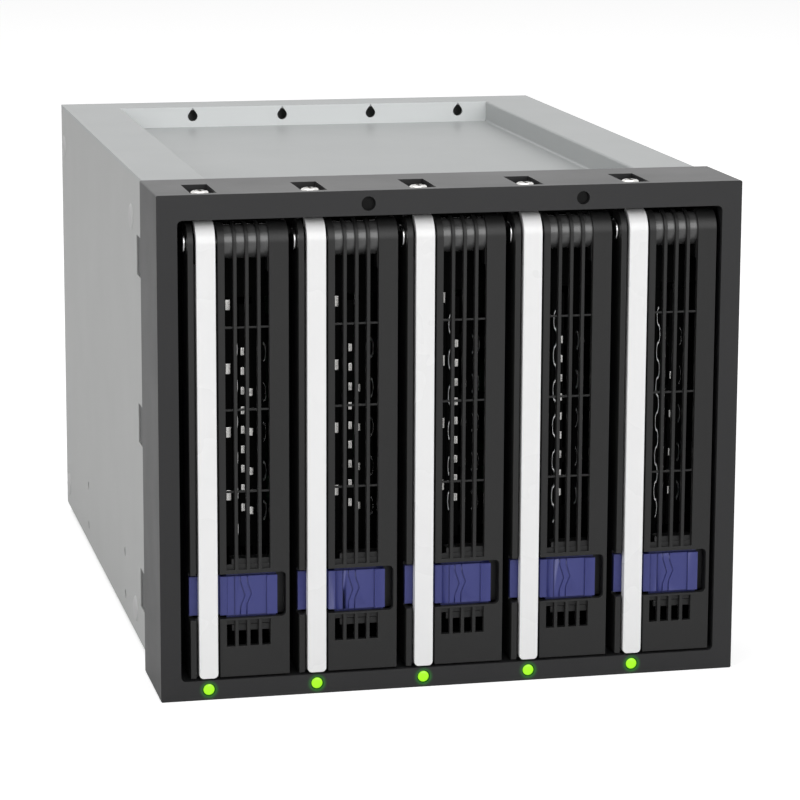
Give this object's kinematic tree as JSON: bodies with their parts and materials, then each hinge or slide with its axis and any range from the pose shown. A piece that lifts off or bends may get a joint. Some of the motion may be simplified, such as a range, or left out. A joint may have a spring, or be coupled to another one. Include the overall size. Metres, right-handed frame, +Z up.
{
  "type": "hot swap drive cage",
  "caption": "Steel drive cage with a deep moulded bezel, upright drive trays behind slotted swing doors with sliding latches, a socket board and a rear fan.",
  "frame": {"origin": "under the middle of the cage, on the surface that the bezel stands on", "axes": "+X to the right seen from the front, +Y from the doors into the cage, +Z up"},
  "size_m": [0.149, 0.208, 0.1275],
  "materials": {
    "bezel_black": "fine satin texture",
    "door_black": "fine satin texture",
    "strip_white": "smooth gloss",
    "latch_blue": "smooth satin",
    "shell_steel": "plain satin grey",
    "cover_steel": "plain satin grey",
    "sled_black": "fine satin texture",
    "pin_steel": "turned, bright",
    "screw_nickel": "nickel plated",
    "pipe_green": "clear light pipe, lit green",
    "lens_clear": "dark clear lens",
    "button_black": "smooth",
    "board_green": "solder resist",
    "socket_black": "moulded",
    "power_ivory": "moulded",
    "fan_black": "moulded",
    "guide_black": "moulded",
    "rail_black": "moulded nylon",
    "bracket_steel": "zinc plated"
  },
  "bodies": {
    "cage": {"bezel_frame": "bezel_black", "bezel_screws": "screw_nickel", "light_pipes": "pipe_green", "status_lens": "lens_clear", "reset_switch": "socket_black", "shell_body": "shell_steel", "side_rivets": "pin_steel", "top_cover": "cover_steel", "rear_panel": "shell_steel", "fan_frame": "fan_black", "fan_screws": "screw_nickel", "socket_board": "board_green", "drive_sockets": "socket_black", "data_ports": "socket_black", "power_ports": "power_ivory", "board_brackets": "bracket_steel", "board_screws": "screw_nickel", "lower_guide": "guide_black", "upper_guide": "guide_black"},
    "button": {"reset_button": "button_black"},
    "rotor": {"fan_rotor": "fan_black"},
    "tray_1": {"tray_sled_1": "sled_black", "tray_rails_1": "rail_black", "hinge_pin_1": "pin_steel"},
    "door_1": {"tray_door_1": "door_black", "handle_strip_1": "strip_white", "latch_spring_1": "pin_steel"},
    "latch_1": {"slide_latch_1": "latch_blue"},
    "tray_2": {"tray_sled_2": "sled_black", "tray_rails_2": "rail_black", "hinge_pin_2": "pin_steel"},
    "door_2": {"tray_door_2": "door_black", "handle_strip_2": "strip_white", "latch_spring_2": "pin_steel"},
    "latch_2": {"slide_latch_2": "latch_blue"},
    "tray_3": {"tray_sled_3": "sled_black", "tray_rails_3": "rail_black", "hinge_pin_3": "pin_steel"},
    "door_3": {"tray_door_3": "door_black", "handle_strip_3": "strip_white", "latch_spring_3": "pin_steel"},
    "latch_3": {"slide_latch_3": "latch_blue"},
    "tray_4": {"tray_sled_4": "sled_black", "tray_rails_4": "rail_black", "hinge_pin_4": "pin_steel"},
    "door_4": {"tray_door_4": "door_black", "handle_strip_4": "strip_white", "latch_spring_4": "pin_steel"},
    "latch_4": {"slide_latch_4": "latch_blue"},
    "tray_5": {"tray_sled_5": "sled_black", "tray_rails_5": "rail_black", "hinge_pin_5": "pin_steel"},
    "door_5": {"tray_door_5": "door_black", "handle_strip_5": "strip_white", "latch_spring_5": "pin_steel"},
    "latch_5": {"slide_latch_5": "latch_blue"}
  },
  "joints": [
    {"name": "tray_slide_1", "type": "slide", "parent": "cage", "child": "tray_1", "axis": [0, -1, 0], "range_m": [0, 0.17]},
    {"name": "door_hinge_1", "type": "hinge", "parent": "tray_1", "child": "door_1", "pos_m": [-0.055, -0.0984, 0.115], "axis": [-1, 0, 0], "range_deg": [0, 75]},
    {"name": "latch_slide_1", "type": "slide", "parent": "door_1", "child": "latch_1", "axis": [1, 0, 0], "range_m": [0, 0.002], "stiffness_N_per_m": 300, "springref_m": -0.001, "deforming": ["latch_spring_1"]},
    {"name": "tray_slide_2", "type": "slide", "parent": "cage", "child": "tray_2", "axis": [0, -1, 0], "range_m": [0, 0.17]},
    {"name": "door_hinge_2", "type": "hinge", "parent": "tray_2", "child": "door_2", "pos_m": [-0.0275, -0.0984, 0.115], "axis": [-1, 0, 0], "range_deg": [0, 75]},
    {"name": "latch_slide_2", "type": "slide", "parent": "door_2", "child": "latch_2", "axis": [1, 0, 0], "range_m": [0, 0.002], "stiffness_N_per_m": 300, "springref_m": -0.001, "deforming": ["latch_spring_2"]},
    {"name": "tray_slide_3", "type": "slide", "parent": "cage", "child": "tray_3", "axis": [0, -1, 0], "range_m": [0, 0.17]},
    {"name": "door_hinge_3", "type": "hinge", "parent": "tray_3", "child": "door_3", "pos_m": [0, -0.0984, 0.115], "axis": [-1, 0, 0], "range_deg": [0, 75]},
    {"name": "latch_slide_3", "type": "slide", "parent": "door_3", "child": "latch_3", "axis": [1, 0, 0], "range_m": [0, 0.002], "stiffness_N_per_m": 300, "springref_m": -0.001, "deforming": ["latch_spring_3"]},
    {"name": "tray_slide_4", "type": "slide", "parent": "cage", "child": "tray_4", "axis": [0, -1, 0], "range_m": [0, 0.17]},
    {"name": "door_hinge_4", "type": "hinge", "parent": "tray_4", "child": "door_4", "pos_m": [0.0275, -0.0984, 0.115], "axis": [-1, 0, 0], "range_deg": [0, 75]},
    {"name": "latch_slide_4", "type": "slide", "parent": "door_4", "child": "latch_4", "axis": [1, 0, 0], "range_m": [0, 0.002], "stiffness_N_per_m": 300, "springref_m": -0.001, "deforming": ["latch_spring_4"]},
    {"name": "tray_slide_5", "type": "slide", "parent": "cage", "child": "tray_5", "axis": [0, -1, 0], "range_m": [0, 0.17]},
    {"name": "door_hinge_5", "type": "hinge", "parent": "tray_5", "child": "door_5", "pos_m": [0.055, -0.0984, 0.115], "axis": [-1, 0, 0], "range_deg": [0, 75]},
    {"name": "latch_slide_5", "type": "slide", "parent": "door_5", "child": "latch_5", "axis": [1, 0, 0], "range_m": [0, 0.002], "stiffness_N_per_m": 300, "springref_m": -0.001, "deforming": ["latch_spring_5"]},
    {"name": "reset_press", "type": "slide", "parent": "cage", "child": "button", "axis": [0, 1, 0], "range_m": [0, 0.001], "stiffness_N_per_m": 400, "springref_m": -0.0005},
    {"name": "fan_spin", "type": "hinge", "parent": "cage", "child": "rotor", "pos_m": [0, 0.09, 0.0612], "axis": [0, 1, 0], "continuous": true}
  ]
}
